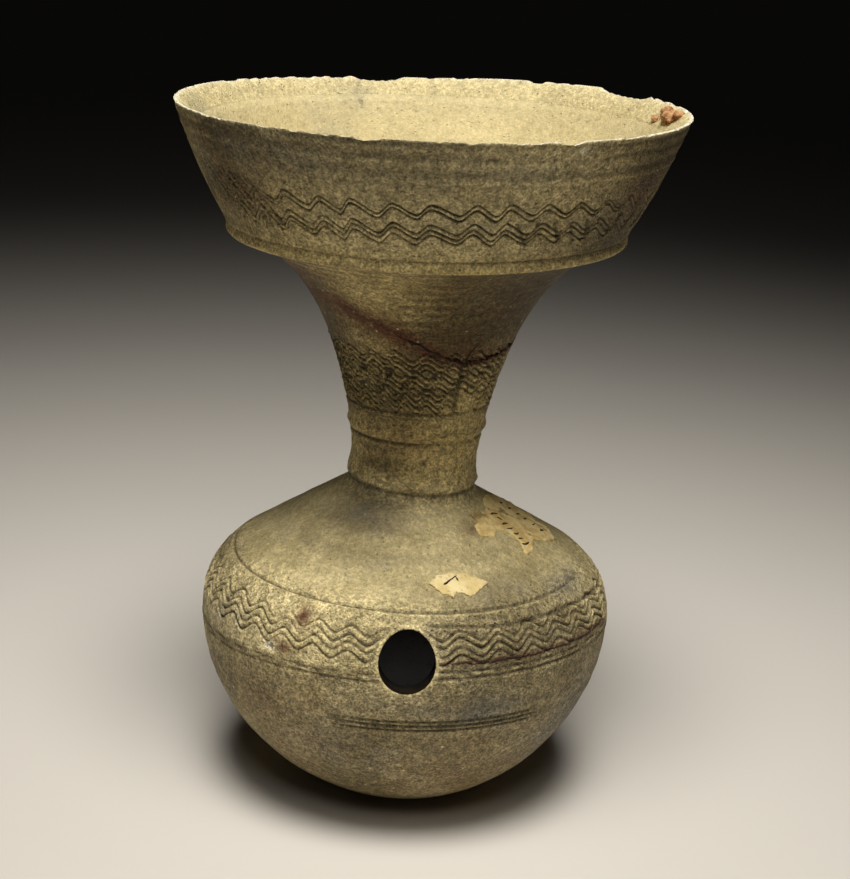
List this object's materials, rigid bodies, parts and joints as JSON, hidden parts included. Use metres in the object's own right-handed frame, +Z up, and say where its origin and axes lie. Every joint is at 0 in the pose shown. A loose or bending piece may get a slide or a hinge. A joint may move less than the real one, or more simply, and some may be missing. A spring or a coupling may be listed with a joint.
{
  "type": "sue ware spouted jar",
  "caption": "Hollow stoneware jar with a round body, one spout hole, a narrow neck and a wide bowl mouth with combed waves.",
  "frame": {"origin": "centre of the small flat under the round bottom, on the surface the jar stands on", "axes": "+Z up along the axis of the jar, -Y out through the spout hole, +X to the right seen from the spout side"},
  "size_m": [0.1404, 0.1404, 0.2009],
  "materials": {
    "clay": "unglazed grey-brown stoneware with pale natural ash, combed waves, dirt and wear"
  },
  "bodies": {
    "root": {"jar": "clay"}
  },
  "joints": []
}
